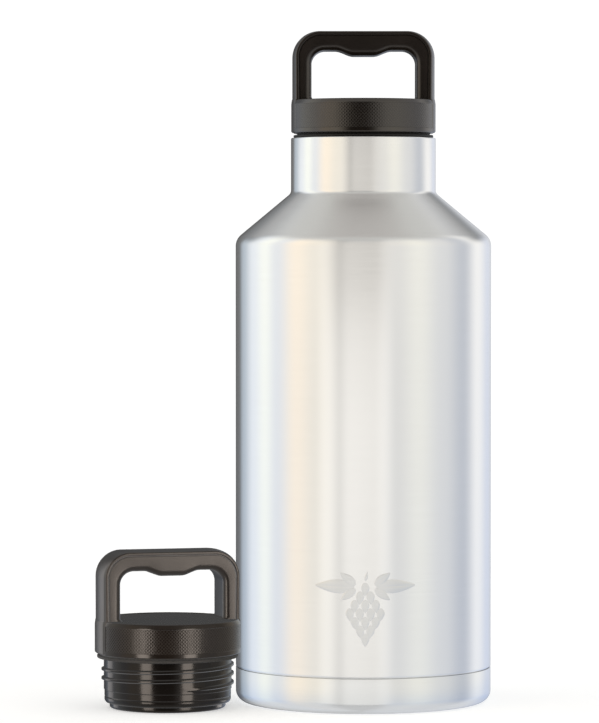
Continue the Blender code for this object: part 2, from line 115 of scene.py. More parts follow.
def finished(name, mesh_data, body, nodes, material, place=None, sharp=35.0):
    """Make a piece from a bmesh, stand it in for its CAD nodes and let it ride on a body."""
    if place is not None:
        mesh_data.transform(place.to_3x3().to_4x4())
    bmesh.ops.remove_doubles(mesh_data, verts=mesh_data.verts, dist=1e-6)
    bmesh.ops.recalc_face_normals(mesh_data, faces=mesh_data.faces)
    mesh = bpy.data.meshes.new(name)
    mesh_data.to_mesh(mesh)
    mesh_data.free()
    mesh.materials.append(material)
    for face in mesh.polygons:
        face.use_smooth = True
    mesh.set_sharp_from_angle(angle=math.radians(sharp))
    piece = bpy.data.objects.new(name, mesh)
    bpy.context.collection.objects.link(piece)
    if place is not None:
        piece.location = place.translation
    bpy.context.view_layer.update()
    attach(piece, body)
    if nodes:
        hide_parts(*nodes)
    if material.name.startswith("steel"):
        steel_pieces.append(piece)
    if body == "spare_lid":
        piece.visible_glossy = False
        spare_pieces.append(piece)
    return piece


def softened(corners, steps):
    """Closed outline from (radius, height, rounding) corners."""
    outline = []
    for index, (radius, height, bend) in enumerate(corners):
        here = Vector((radius, height))
        if bend <= 0.0:
            outline.append((radius, height))
            continue
        back = (Vector(corners[index - 1][:2]) - here).normalized()
        ahead = (Vector(corners[(index + 1) % len(corners)][:2]) - here).normalized()
        half = back.angle(ahead) / 2.0
        centre = here + (back + ahead).normalized() * (bend / math.sin(half))
        start = here + back * (bend / math.tan(half)) - centre
        end = here + ahead * (bend / math.tan(half)) - centre
        sweep = start.angle_signed(end)
        for step in range(steps + 1):
            spot = centre + Matrix.Rotation(-sweep * step / steps, 2) @ start
            outline.append((spot.x, spot.y))
    return outline


def ring_point(radius, height, step, steps):
    """Point on a circle round the Z axis."""
    angle = 2.0 * math.pi * step / steps
    return Vector((radius * math.cos(angle), radius * math.sin(angle), height))


def revolve(outline, segments):
    """Turn a closed (radius, height) outline round the Z axis."""
    mesh_data = bmesh.new()
    columns = []
    for step in range(segments):
        columns.append([mesh_data.verts.new(ring_point(r, z, step, segments)) for r, z in outline])
    for step in range(segments):
        here = columns[step]
        there = columns[(step + 1) % segments]
        for row in range(len(outline)):
            after = (row + 1) % len(outline)
            if outline[row][0] == 0.0 and outline[after][0] == 0.0:
                continue
            mesh_data.faces.new((here[row], here[after], there[after], there[row]))
    return mesh_data


# ------------------------------------------------------------------- materials

class Tree:
    """Short calls for building one node tree."""

    def __init__(self, tree):
        self.tree = tree

    def add(self, kind, **settings):
        node = self.tree.nodes.new(kind)
        for key, value in settings.items():
            setattr(node, key, value)
        return node

    def join(self, source, target):
        self.tree.links.new(source, target)

    def feed(self, socket, value):
        """Give a socket another socket, a colour or a number."""
        if isinstance(value, bpy.types.NodeSocket):
            self.join(value, socket)
        elif isinstance(value, tuple):
            socket.default_value = (*value, 1.0)
        else:
            socket.default_value = value

    def split(self, vector):
        node = self.add("ShaderNodeSeparateXYZ")
        self.join(vector, node.inputs[0])
        return tuple(node.outputs)

    def math(self, operation, *values):
        node = self.add("ShaderNodeMath", operation=operation)
        for socket, value in zip(node.inputs, values):
            self.feed(socket, value)
        return node.outputs[0]

    def spread(self, value, low, high, new_low=0.0, new_high=1.0, way="LINEAR"):
        """Map one range of values to another."""
        node = self.add("ShaderNodeMapRange", interpolation_type=way)
        self.join(value, node.inputs["Value"])
        for key, number in zip(("From Min", "From Max", "To Min", "To Max"),
                               (low, high, new_low, new_high)):
            node.inputs[key].default_value = number
        return node.outputs["Result"]

    def noise(self, vector, scale, detail, roughness=0.55):
        node = self.add("ShaderNodeTexNoise")
        node.inputs["Scale"].default_value = scale
        node.inputs["Detail"].default_value = detail
        node.inputs["Roughness"].default_value = roughness
        self.join(vector, node.inputs["Vector"])
        return node.outputs["Fac"]

    def ramp(self, value, stops):
        """Colour ramp from (position, colour) pairs."""
        node = self.add("ShaderNodeValToRGB")
        node.color_ramp.interpolation = "EASE"
        elements = node.color_ramp.elements
        while len(elements) > 1:
            elements.remove(elements[-1])
        for index, (where, colour) in enumerate(stops):
            element = elements[0] if index == 0 else elements.new(where)
            element.position = where
            element.color = (*colour, 1.0)
        self.join(value, node.inputs["Fac"])
        return node.outputs["Color"]

    def blend(self, factor, first, second, way="MIX"):
        node = self.add("ShaderNodeMix", data_type="RGBA", blend_type=way)
        self.feed(node.inputs["Factor"], factor)
        self.feed(node.inputs["A"], first)
        self.feed(node.inputs["B"], second)
        return node.outputs["Result"]


class Nodes(Tree):
    """The same for a material with one principled shader."""

    def __init__(self, name):
        self.material = bpy.data.materials.new(name)
        self.material.use_nodes = True
        super().__init__(self.material.node_tree)
        self.shader = self.tree.nodes["Principled BSDF"]

    def place(self):
        return self.add("ShaderNodeTexCoord").outputs["Object"]

    def bump(self, height, distance):
        node = self.add("ShaderNodeBump")
        node.inputs["Distance"].default_value = distance
        node.inputs["Strength"].default_value = 1.0
        self.join(height, node.inputs["Height"])
        self.join(node.outputs["Normal"], self.shader.inputs["Normal"])


STEEL_GRAIN = 5200.0         # brushing rings per metre on the outside
STEEL_BUMP = 0.000003
STEEL_ROUGHNESS = 0.20
RING_CHANGE = 2.2            # how fast the rings change round the axis
CLOUD_GRAIN = 14.0           # soft patches per metre


def brushed_steel(name, colour, roughness, grain, stretch, bump=0.000012):
    """Steel brushed round the Z axis: fine rings that spread highlights up and down."""
    n = Nodes(name)
    place = n.place()
    x, y, z = n.split(place)
    radius = n.math("SQRT", n.math("ADD", n.math("MULTIPLY", x, x), n.math("MULTIPLY", y, y)))
    rings = n.add("ShaderNodeCombineXYZ")
    n.join(n.math("MULTIPLY", n.math("ARCTAN2", y, x), RING_CHANGE), rings.inputs["X"])
    n.join(n.math("MULTIPLY", z, grain), rings.inputs["Y"])
    n.join(n.math("MULTIPLY", radius, grain), rings.inputs["Z"])
    fine = n.noise(rings.outputs[0], 1.0, 4.0, 0.65)
    cloud = n.noise(place, CLOUD_GRAIN, 2.0)
    darker = tuple(channel * 0.94 for channel in colour)
    n.join(n.blend(n.spread(fine, 0.3, 0.7), darker, colour), n.shader.inputs["Base Color"])
    both = n.math("ADD", n.math("MULTIPLY", fine, 0.7), n.math("MULTIPLY", cloud, 0.3))
    rough = n.spread(both, 0.3, 0.7, roughness - 0.04, roughness + 0.04)
    n.join(rough, n.shader.inputs["Roughness"])
    n.bump(fine, bump)
    n.shader.inputs["Metallic"].default_value = 1.0
    n.shader.inputs["Anisotropic"].default_value = stretch
    n.shader.inputs["Anisotropic Rotation"].default_value = 0.25
    tangent = n.add("ShaderNodeTangent", direction_type="RADIAL", axis="Z")
    n.join(tangent.outputs[0], n.shader.inputs["Tangent"])
    return n.material


GROOVE_DULL = 0.26           # added roughness at the bottom of the knurl's grooves
GROOVE_START = 0.55          # share of the groove's depth at which it starts
PLASTIC_TINT = (1.0, 0.93, 0.86, 1.0)  # the plastic's reflections are slightly brown
MATT_GRAIN = 2600.0          # grains per metre
FLOW_GRAIN = 55.0            # flow marks per metre


def moulded_plastic(name, colour, roughness, shine, grain=0.000004, knurled=False):
    """Black plastic with a fine matt grain and faint flow marks; knurl grooves are duller."""
    n = Nodes(name)
    n.shader.inputs["Specular IOR Level"].default_value = shine
    n.shader.inputs["Specular Tint"].default_value = PLASTIC_TINT
    place = n.place()
    fine = n.noise(place, MATT_GRAIN, 2.0)
    flow = n.noise(place, FLOW_GRAIN, 3.0)
    lighter = tuple(channel * 1.35 for channel in colour)
    n.join(n.blend(n.spread(flow, 0.35, 0.7), colour, lighter), n.shader.inputs["Base Color"])
    both = n.math("ADD", n.math("MULTIPLY", fine, 0.4), n.math("MULTIPLY", flow, 0.6))
    rough = n.spread(both, 0.3, 0.7, roughness - 0.04, roughness + 0.05)
    if knurled:
        groove = n.add("ShaderNodeAttribute", attribute_name="groove").outputs["Fac"]
        rough = n.math("ADD", rough, n.spread(groove, GROOVE_START, 1.0, 0.0, GROOVE_DULL))
    n.join(rough, n.shader.inputs["Roughness"])
    n.bump(fine, grain)
    return n.material


def speckled(name, low, high, scale, roughness, metallic=0.0, bump=0.00005):
    """Foam, foil, pellet, glass and clip: two tones of one noise with a matching bump."""
    n = Nodes(name)
    grain = n.noise(n.place(), scale, 4.0)
    n.join(n.blend(n.spread(grain, 0.35, 0.65), low, high), n.shader.inputs["Base Color"])
    rough = n.spread(grain, 0.3, 0.7, roughness * 0.8, roughness * 1.1)
    n.join(rough, n.shader.inputs["Roughness"])
    n.shader.inputs["Metallic"].default_value = metallic
    n.bump(grain, bump)
    return n.material


steel_body = brushed_steel("steel_body", (0.84, 0.835, 0.825), STEEL_ROUGHNESS, STEEL_GRAIN,
                           0.8, STEEL_BUMP)
# The base cup's steel is the body's steel made darker and cooler: painted shade for the dimmer,
# bluer look that the light gives the bottle's lower end.
steel_base_painted_shade = brushed_steel("steel_base_painted_shade", (0.775, 0.785, 0.79), STEEL_ROUGHNESS, STEEL_GRAIN,
                           0.8, STEEL_BUMP)
steel_inside = brushed_steel("steel_inside", (0.66, 0.66, 0.655), 0.34, 3000.0, 0.4)
steel_mouth = brushed_steel("steel_mouth", (0.74, 0.74, 0.735), 0.24, 4200.0, 0.5)
steel_emblem = brushed_steel("steel_emblem", (0.70, 0.70, 0.695), 0.30, 2600.0, 0.35, 0.000006)
# The second lid is lit harder, so its plastic is set less reflective
PLASTICS = {
    "lid": {
        "loop": moulded_plastic("plastic_loop", (0.0064, 0.0036, 0.0022), 0.30, shine=0.85),
        "cap": moulded_plastic(
            "plastic_cap", (0.0044, 0.0026, 0.0016), 0.18, shine=1.0, knurled=True),
        "plug": moulded_plastic("plastic_plug", (0.0035, 0.0028, 0.0023), 0.22, shine=0.75),
    },
    "spare": {
        "loop": moulded_plastic(
            "plastic_spare_loop", (0.0060, 0.0044, 0.0036), 0.32, shine=0.40),
        "cap": moulded_plastic(
            "plastic_spare_cap", (0.0050, 0.0034, 0.0024), 0.18, shine=0.30, knurled=True),
        "plug": moulded_plastic(
            "plastic_spare_plug", (0.0030, 0.0024, 0.0020), 0.16, shine=0.24),
    },
}
rubber = moulded_plastic("rubber_black", (0.008, 0.008, 0.008), 0.6, 0.4, 0.00001)


# ---------------------------------------------------------------------- bottle

def shell_outline(outside, thickness):
    """Closed sheet section from an open outside line; the inside is the same line moved in."""
    inside = []
    for index, point in enumerate(outside):
        before = Vector(outside[max(0, index - 1)])
        after = Vector(outside[min(len(outside) - 1, index + 1)])
        along = (after - before).normalized()
        inside.append((point[0] - along.y * thickness, point[1] + along.x * thickness))
    return outside + inside[::-1]


def build_bottle():
    """Outer shell, base cup and base cover."""
    shoulder = [(BODY_R, 0.0, 0.0), (BODY_R, SHOULDER_LOW_Z, SHOULDER_BEND)]
    shoulder += [(NECK_R, SHOULDER_HIGH_Z, NECK_BEND), (NECK_R, RIM_Z + 1.0, 0.0)]
    line = softened(shoulder, 12)[1:-1]
    start = [(BODY_R - SEAM_BEVEL, SEAM_Z), (BODY_R - 0.12 * MM, SEAM_Z + 0.1 * MM)]
    start += [(BODY_R, SEAM_Z + SEAM_BEVEL), (BODY_R, SEAM_Z + 1.0 * MM)]
    start += [(BODY_R, SEAM_Z + (SHOULDER_LOW_Z - SEAM_Z) * share) for share in (0.25, 0.5, 0.75)]
    top = [(NECK_R, RIM_Z - 0.5 * MM), (NECK_R - 0.09 * MM, RIM_Z - 0.2 * MM)]
    top += [(NECK_R - 0.3 * MM, RIM_Z)]
    outline = shell_outline(start + line + top[:1], SHEET)
    middle = len(start + line + top[:1])
    outline = outline[:middle] + top[1:] + [(NECK_R - SHEET, RIM_Z)] + outline[middle:]
    finished("outer_shell_skin", revolve(outline, ROUND), "bottle", ["outer_shell"],
             steel_body)

    top_z = SEAM_Z - GAP
    lap_r = BODY_R - SHEET - GAP
    over_z = RECESS_Z + SHEET
    cup = [(BODY_R - SEAM_BEVEL, top_z, 0.0), (BODY_R - 0.12 * MM, top_z - 0.1 * MM, 0.0)]
    cup += [(BODY_R, top_z - SEAM_BEVEL, 0.0), (BODY_R, 0.0, FOOT_BEND), (FOOT_R, 0.0, 0.8 * MM)]
    cup += [(RECESS_R, RECESS_Z, 0.6 * MM), (PORT_R, RECESS_Z, 0.0), (PORT_R, over_z, 0.0)]
    cup += [(RECESS_R + 0.3 * MM, over_z, 0.6 * MM), (FOOT_R + 0.3 * MM, SHEET, 0.6 * MM)]
    cup += [(BODY_R - SHEET, SHEET, FOOT_BEND - SHEET)]
    cup += [(BODY_R - SHEET, top_z - LAP_DROP - SHEET, 0.0)]
    cup += [(lap_r - SHEET, top_z - LAP_DROP, 0.0), (lap_r - SHEET, CUP_TOP_Z, 0.0)]
    cup += [(lap_r, CUP_TOP_Z, 0.0), (lap_r, top_z, 0.0)]
    finished("base_cup_skin", revolve(softened(cup, 10), ROUND), "bottle", ["base_cup"],
             steel_base_painted_shade)

    high = COVER_LOW_Z + COVER_SHEET
    dimple = COVER_LOW_Z + DIMPLE_H
    cover = [(0.0, dimple, 0.0), (DIMPLE_R, dimple, 0.4 * MM)]
    cover += [(DIMPLE_R + 1.5 * MM, COVER_LOW_Z, 0.4 * MM), (COVER_R, COVER_LOW_Z, 0.4 * MM)]
    cover += [(COVER_R, high, 0.1 * MM), (0.0, high, 0.0)]
    finished("base_cover_skin", revolve(softened(cover, 5), 160), "bottle", ["base_cover"],
             steel_inside)


# ---------------------------------------------------------------------- emblem

EMBLEM_Z = 48.0 * MM
EMBLEM_SUNK = -0.03 * MM     # the rim of each leaf starts this far under the steel's surface
EMBLEM_RIM = 0.035 * MM
EMBLEM_DOME = 0.10 * MM
EMBLEM_STEPS = 14            # rows of faces along each leaf
EMBLEM_SHARES = (-1.0, -0.9, -0.6, -0.3, -0.07, 0.0, 0.07, 0.3, 0.6, 0.9, 1.0)
EMBLEM_TIP = 0.04            # half-width of a leaf's two ends, in millimetres
# Scales of the hop cone in millimetres from the emblem's middle: (height, positions across)
HOP_ROWS = (
    (9.6, (0.0,)),
    (5.7, (-2.45, 2.45)),
    (1.8, (-4.9, 0.0, 4.9)),
    (-2.1, (-7.0, -2.45, 2.45, 7.0)),
    (-6.0, (-4.7, 0.0, 4.7)),
    (-9.9, (-2.3, 2.3)),
    (-13.6, (0.0,)),
)
SCALE_LENGTH = 6.3
SCALE_WIDTH = 3.9
SCALE_LEAN = 0.35            # how strongly the outer scales follow the cone's outline
# Lobes of the right leaf: (turn from straight up in degrees, length, width)
LEAF_LOBES = ((52.0, 9.5, 4.4), (88.0, 19.5, 6.6), (126.0, 9.0, 4.0))
LEAF_FOOT = (3.2, 10.6)
LEAF_START = 1.3             # how far each lobe starts from the leaf's foot
STEM = ((0.0, 13.4), 14.0, 4.6, 1.5)  # foot, turn, length, width


def on_bottle(flat, height):
    """Point over the bottle's front from millimetres across and up the emblem."""
    angle = flat.x * MM / BODY_R
    radius = BODY_R + height
    return (radius * math.sin(angle), -radius * math.cos(angle), EMBLEM_Z + flat.y * MM)


def add_leaf(mesh_data, foot, turn, length, width):
    """Domed leaf with a vein, wrapped on the bottle; foot, length and width are in millimetres."""
    heading = Vector((math.sin(math.radians(turn)), math.cos(math.radians(turn))))
    across = Vector((heading.y, -heading.x))
    front = []
    back = []
    for step in range(EMBLEM_STEPS + 1):
        along = step / EMBLEM_STEPS
        inner = 0 < step < EMBLEM_STEPS
        half = width / 2 * math.sin(math.pi * along ** 0.75) ** 0.9 if inner else EMBLEM_TIP
        front_row = []
        back_row = []
        for share in EMBLEM_SHARES:
            flat = Vector(foot) + heading * (length * along) + across * (half * share)
            low = mesh_data.verts.new(on_bottle(flat, EMBLEM_SUNK))
            high = low
            if abs(share) < 1.0 and inner:
                rise = (1.0 - share * share) * math.sin(math.pi * along)
                vein = 0.5 if abs(share) < 0.05 else 1.0
                high = mesh_data.verts.new(on_bottle(flat, EMBLEM_RIM + EMBLEM_DOME * rise * vein))
            front_row.append(high)
            back_row.append(low)
        front.append(front_row)
        back.append(back_row)
    for step in range(EMBLEM_STEPS):
        for column in range(len(EMBLEM_SHARES) - 1):
            after = column + 1
            mesh_data.faces.new((front[step][column], front[step][after],
                                 front[step + 1][after], front[step + 1][column]))
            mesh_data.faces.new((back[step][column], back[step + 1][column],
                                 back[step + 1][after], back[step][after]))


def build_emblem():
    """A hop cone between two leaves, slightly raised on the front of the bottle."""
    mesh_data = bmesh.new()
    for side in (-1.0, 1.0):
        for turn, length, width in LEAF_LOBES:
            angle = math.radians(turn)
            foot = ((LEAF_FOOT[0] + LEAF_START * math.sin(angle)) * side,
                    LEAF_FOOT[1] + LEAF_START * math.cos(angle))
            add_leaf(mesh_data, foot, turn * side, length, width)
    for level, places in HOP_ROWS:
        for place in places:
            turn = 180.0 - place * level * SCALE_LEAN
            angle = math.radians(turn)
            foot = (place - SCALE_LENGTH / 2 * math.sin(angle),
                    level - SCALE_LENGTH / 2 * math.cos(angle))
            add_leaf(mesh_data, foot, turn, SCALE_LENGTH, SCALE_WIDTH)
    add_leaf(mesh_data, *STEM)
    finished("emblem_hop", mesh_data, "bottle", [], steel_emblem, sharp=60.0)


# ---------------------------------------------------------------------- thread

PITCH = 4.2 * MM
THREAD_SEGMENTS = 160
STEP = PITCH / THREAD_SEGMENTS
ROOT_R = 29.7 * MM
THREAD_H = 1.1 * MM
THREAD_PLAY = 0.35 * MM
MOUTH_R = ROOT_R + THREAD_H + THREAD_PLAY
RIDGE_STEP = -200            # height of the ridge on the +X side, in thread steps
FADE = 0.09                  # length of each run-out, in turns
# Sections of the threads: (offset in thread steps, height of the ridge)
MALE_FORM = (
    (-37, 0.0), (-34, 0.07), (-20, 0.9), (-14, 1.0), (14, 1.0), (20, 0.9), (34, 0.07), (37, 0.0))
FEMALE_FORM = (
    (-53, 1.0), (-50, 0.93), (-30, 0.07), (-26, 0.0), (26, 0.0), (30, 0.07), (50, 0.93), (53, 1.0))
# Where the ridge starts and ends, in turns, and the top and bottom of its stretch, in steps
MALE_TURNS = (-2.25, 0.25)
MALE_ENDS = (-120, -632)
FEMALE_TURNS = (-2.9, 0.3)
FEMALE_ENDS = (-100, -772)


def smooth_step(value):
    """Smooth rise from 0 to 1."""
    value = min(1.0, max(0.0, value))
    return value * value * (3.0 - 2.0 * value)


def thread_mesh(rest, form, limits, top_step, bottom_step, male):
    """Revolved section: a helical thread, closed by the plain points in `rest`."""
    first = (bottom_step - RIDGE_STEP) // THREAD_SEGMENTS - 1
    last = (top_step - RIDGE_STEP) // THREAD_SEGMENTS + 2
    lines = [(phase, height, turn) for turn in range(first, last + 1) for phase, height in form]
    plain = ROOT_R if male else MOUTH_R
    mesh_data = bmesh.new()
    threads = []
    others = []
    for step in range(THREAD_SEGMENTS):
        column = []
        for phase, height, turn in lines:
            raw = RIDGE_STEP + turn * THREAD_SEGMENTS + phase + step
            turns = turn + step / THREAD_SEGMENTS
            if not male:
                turns += 0.5 if phase > 0 else -0.5
            rise = smooth_step((turns - limits[0]) / FADE) * smooth_step((limits[1] - turns) / FADE)
            if not bottom_step < raw < top_step:
                rise = 0.0
            radius = plain + (1.0 if male else -1.0) * THREAD_H * height * rise
            level = min(top_step, max(bottom_step, raw)) * STEP
            column.append(mesh_data.verts.new(ring_point(radius, level, step, THREAD_SEGMENTS)))
        threads.append(column)
        others.append(
            [mesh_data.verts.new(ring_point(r, z, step, THREAD_SEGMENTS)) for r, z in rest])
    for step in range(THREAD_SEGMENTS):
        ahead = (step + 1) % THREAD_SEGMENTS
        offset = len(form) if ahead == 0 else 0
        here = threads[step]
        there = threads[ahead]
        for row in range(len(lines) - 1 - offset):
            mesh_data.faces.new(
                (here[row], here[row + 1], there[row + 1 + offset], there[row + offset]))
        rim = [here[-1]] + others[step] + [here[0]]
        next_rim = [there[-1]] + others[ahead] + [there[0]]
        for row in range(len(rim) - 1):
            mesh_data.faces.new((rim[row], rim[row + 1], next_rim[row + 1], next_rim[row]))
    bmesh.ops.remove_doubles(mesh_data, verts=mesh_data.verts, dist=1e-6)
    bmesh.ops.dissolve_degenerate(mesh_data, dist=1e-7, edges=mesh_data.edges)
    return mesh_data


def build_liner():
    """Inner liner with its threaded mouth, and the liner's bottom cup."""
    cone_drop = (LINER_R - MOUTH_R) * (SHOULDER_HIGH_Z - SHOULDER_LOW_Z) / (BODY_R - NECK_R)
    path = [(LINER_R, 0.0, 0.0), (LINER_R, LINER_CONE_TOP - cone_drop, SHOULDER_BEND)]
    path += [(MOUTH_R, LINER_CONE_TOP, NECK_BEND), (MOUTH_R, RIM_Z + 1.0, 0.0)]
    inside = [(LINER_R, LINER_SEAM_Z + GAP / 2)] + softened(path, 8)[1:-1]
    inside.append((MOUTH_R, LINER_NECK_Z))
    outside = [(r + SHEET, z - 0.12 * MM) for r, z in inside]
    outside[0] = (LINER_R + SHEET, LINER_SEAM_Z + GAP / 2)
    lip_r = NECK_R - SHEET - GAP
    above = [(MOUTH_R + 0.05 * MM, RIM_Z - 0.22 * MM), (MOUTH_R + 0.3 * MM, RIM_Z)]
    above += [(lip_r - 0.2 * MM, RIM_Z), (lip_r, RIM_Z - 0.2 * MM), (lip_r, RIM_Z - SHEET)]
    above += [(MOUTH_R + SHEET, RIM_Z - SHEET)] + outside[::-1]
    rest = [(r, z - LID_Z) for r, z in above + inside]
    mesh_data = thread_mesh(rest, FEMALE_FORM, FEMALE_TURNS, *FEMALE_ENDS, False)
    finished("inner_liner_skin", mesh_data, "bottle", ["inner_liner"],
             steel_mouth, Matrix.Translation((0.0, 0.0, LID_Z)))

    top = LINER_SEAM_Z - GAP / 2
    lap_r = LINER_R + SHEET + GAP
    lap_top = top + 4.0 * MM
    under = LINER_FLOOR_Z - SHEET
    cup = [(0.0, LINER_FLOOR_Z, 0.0), (LINER_R, LINER_FLOOR_Z, LINER_FLOOR_BEND)]
    cup += [(LINER_R, top, 0.0), (lap_r, top, 0.0), (lap_r, lap_top, 0.0)]
    cup += [(lap_r + SHEET, lap_top, 0.0)]
    cup += [(lap_r + SHEET, top - SHEET, 0.0), (LINER_R + SHEET, top - 2 * SHEET, 0.0)]
    cup += [(LINER_R + SHEET, under, LINER_FLOOR_BEND + SHEET), (0.0, under, 0.0)]
    finished("liner_bottom_skin", revolve(softened(cup, 8), 128), "bottle", ["liner_bottom"],
             steel_inside)


# ------------------------------------------------------------------------ lids

KNURL = 268                  # half pitches round the skirt; the grid has one column each
KNURL_ROWS = 14
KNURL_LOW = 2.3 * MM
KNURL_ROW_H = 0.8 * MM
KNURL_PEAK = 0.12 * MM       # how far the peaks and the grooves lie under the skirt's surface
KNURL_GROOVE = 0.165 * MM
PAD_COLUMNS = 14             # half-width of the strap's channel, in columns
PAD_DEPTH = 1.3 * MM
CHAMFER_Z = 13.6 * MM
PLATE_R = 31.2 * MM          # flat plate on the cap's top
PLATE_SUNK = 0.4 * MM        # it lies this far under the rim round it
PLATE_LOW = 13.2 * MM        # its underside
SKIRT_IN_R = 31.5 * MM


def cap_rows():
    """(radius, height, is knurl row) from the middle of the top, round the outside, to inside."""
    plate = CAP_H - PLATE_SUNK
    top = [(0.0, plate), (12.0 * MM, plate), (24.0 * MM, plate), (PLATE_R, plate)]
    top += [(PLATE_R + 0.3 * MM, CAP_H - 0.3 * MM), (PLATE_R + 0.6 * MM, CAP_H)]
    top += [(CAP_R - 1.2 * MM, CAP_H), (CAP_R - 0.95 * MM, CAP_H - 0.1 * MM)]
    top += [(CAP_R - 0.75 * MM, CAP_H - 0.35 * MM), (CAP_R - 0.1 * MM, CHAMFER_Z + 0.3 * MM)]
    top += [(CAP_R, CHAMFER_Z), (CAP_R, CHAMFER_Z - 0.05 * MM)]
    low = [(CAP_R, KNURL_LOW - 0.12 * MM), (CAP_R, 0.5 * MM), (CAP_R - 0.12 * MM, 0.2 * MM)]
    low += [(CAP_R - 0.4 * MM, 0.0), (SKIRT_IN_R, 0.0), (SKIRT_IN_R, PLATE_LOW), (0.0, PLATE_LOW)]
    rows = [(radius, height, False) for radius, height in top]
    for row in range(KNURL_ROWS, -1, -1):
        rows.append((CAP_R, KNURL_LOW + row * KNURL_ROW_H, True))
    return rows + [(radius, height, False) for radius, height in low]


def build_cap(prefix, body, place):
    """Cap with a knurled skirt and a smooth channel on each side for the loop's strap."""
    rows = cap_rows()
    quarter = KNURL // 2
    mesh_data = bmesh.new()
    depth = mesh_data.verts.layers.float.new("groove")
    grid = []
    for column in range(KNURL):
        from_pad = min(column % quarter, quarter - column % quarter)
        points = []
        for index, (radius, height, knurled) in enumerate(rows):
            if from_pad < PAD_COLUMNS:
                radius = min(radius, CAP_R - PAD_DEPTH)
            groove = 0.0
            if knurled and from_pad > PAD_COLUMNS:
                groove = float((column + index) % 2 == 0)
                radius -= KNURL_GROOVE if groove else KNURL_PEAK
            vert = mesh_data.verts.new(ring_point(radius, height, column, KNURL))
            vert[depth] = groove
            points.append(vert)
        grid.append(points)
    for column in range(KNURL):
        here = grid[column]
        there = grid[(column + 1) % KNURL]
        for row in range(len(rows) - 1):
            if rows[row][2] and rows[row + 1][2]:
                if (column + row) % 2 == 0:
                    mesh_data.faces.new((here[row], here[row + 1], there[row + 1]))
                    mesh_data.faces.new((here[row], there[row + 1], there[row]))
                else:
                    mesh_data.faces.new((here[row], here[row + 1], there[row]))
                    mesh_data.faces.new((here[row + 1], there[row + 1], there[row]))
            else:
                mesh_data.faces.new((here[row], here[row + 1], there[row + 1], there[row]))
    node = f"{prefix}_cap"
    material = PLASTICS[prefix]["cap"]
    finished(f"{node}_skin", mesh_data, body, [node], material, place, sharp=6.0)


LOOP_X = 33.4 * MM
LOOP_INNER_X = 24.35 * MM
BAR_Z = 38.6 * MM
OUTER_BEND = 12.7 * MM
INNER_BEND = 6.3 * MM
FLARE_R = 1.3 * MM
BUMP_HALF = 13.2 * MM
BUMP_FLAT = 4.6 * MM
BUMP_DROP = 2.45 * MM
STRAP_T = 4.6 * MM
STRAP_WIDTH = 21.0 * MM
STRAP_EDGE = 0.35 * MM
LOOP_EDGE = 2.9 * MM         # rounding along the opening
CROWN = 1.7 * MM
BAR_CROWN = 0.5 * MM
RIM_BAND = 2.15 * MM         # width of the raised rim along the outside of the loop's two faces
RIM_ROUND = 0.6 * MM
FACE_SUNK = 0.22 * MM        # how far the face lies under the rim
FACE_GROOVE = 0.45 * MM      # depth of the groove between them
FLARE_STEPS = 5              # stations along the loop's parts
BEND_STEPS = 14
BUMP_STEPS = 12
EDGE_STEPS = 8               # points along the section's roundings
RIM_STEPS = 6
CROWN_SHARES = (0.9, 0.8, 0.65, 0.5, 0.35, 0.2, 0.1)


def loop_stations():
    """Half of the loop as (outer point, inner point, width, edge rounding, crown)."""
    seat = CAP_H + 0.1 * MM
    back = STRAP_X - STRAP_T
    strap = (STRAP_WIDTH, STRAP_EDGE, CROWN)
    leg = (LOOP_DEPTH, LOOP_EDGE, CROWN)
    stations = [((STRAP_X - 0.5 * MM, GAP), (back, GAP), *strap)]
    stations.append(((STRAP_X, GAP + 0.5 * MM), (back, GAP + 0.5 * MM), *strap))
    stations.append(((STRAP_X, CHAMFER_Z), (back, CHAMFER_Z), *strap))
    stations.append(((LOOP_X + 0.2 * MM, seat), (back, seat), *strap))
    for step in range(FLARE_STEPS + 1):
        angle = math.pi / 2 * step / FLARE_STEPS
        flare = FLARE_R * (1.0 - math.sin(angle))
        z = seat + FLARE_R * (1.0 - math.cos(angle))
        stations.append(((LOOP_X, z), (LOOP_INNER_X - flare, z), *leg))
    for step in range(BEND_STEPS + 1):
        angle = math.pi / 2 * step / BEND_STEPS
        lift = Vector((math.cos(angle), math.sin(angle)))
        outer = Vector((LOOP_X - OUTER_BEND, LOOP_TOP - OUTER_BEND)) + lift * OUTER_BEND
        inner = Vector((LOOP_INNER_X - INNER_BEND, BAR_Z - INNER_BEND)) + lift * INNER_BEND
        crown = CROWN + (BAR_CROWN - CROWN) * step / BEND_STEPS
        stations.append((tuple(outer), tuple(inner), LOOP_DEPTH, LOOP_EDGE, crown))
    bar = (LOOP_DEPTH, LOOP_EDGE, BAR_CROWN)
    for step in range(BUMP_STEPS + 1):
        along = step / BUMP_STEPS
        x = BUMP_HALF + (BUMP_FLAT - BUMP_HALF) * along
        z = BAR_Z - BUMP_DROP * smooth_step(along)
        stations.append(((x, LOOP_TOP), (x, z), *bar))
    return stations


